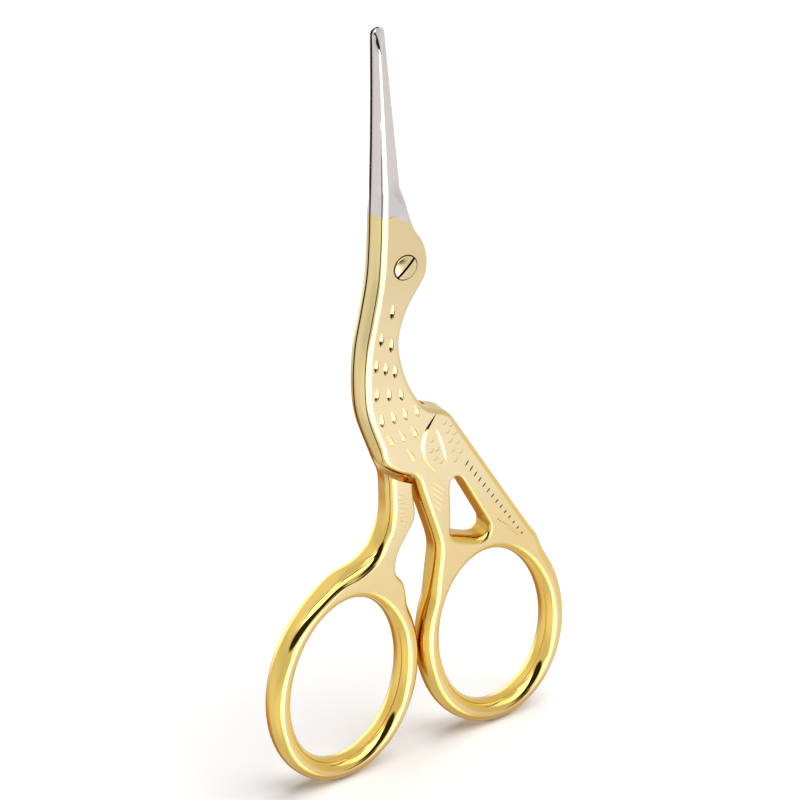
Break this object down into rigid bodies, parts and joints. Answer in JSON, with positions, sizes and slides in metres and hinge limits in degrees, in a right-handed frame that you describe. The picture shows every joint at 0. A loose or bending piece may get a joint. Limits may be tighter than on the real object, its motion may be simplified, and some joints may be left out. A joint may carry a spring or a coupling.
{
  "type": "embroidery scissors",
  "caption": "Small pointed embroidery scissors shaped like a stork, gold-plated with bare steel blades, whose lapped halves turn on a slotted screw.",
  "frame": {"origin": "middle of the scissors' box, level with the bottoms of the finger rings", "axes": "+Z from the rings to the tips, +Y through the thickness towards the back, away from the screw's head, +X from the rear half's ring to the front half's ring"},
  "size_m": [0.05, 0.004, 0.115],
  "materials": {
    "plated_steel": "polished gold plate with bare polished steel blades",
    "plated_screw": "polished gold plate"
  },
  "bodies": {
    "front_half": {"front_half": "plated_steel"},
    "rear_half": {"rear_half": "plated_steel", "pivot_screw": "plated_screw"}
  },
  "joints": [
    {"name": "pivot", "type": "hinge", "parent": "front_half", "child": "rear_half", "pos_m": [-0.0006, 0, 0.0797], "axis": [0, 1, 0], "range_deg": [0, 70]}
  ]
}
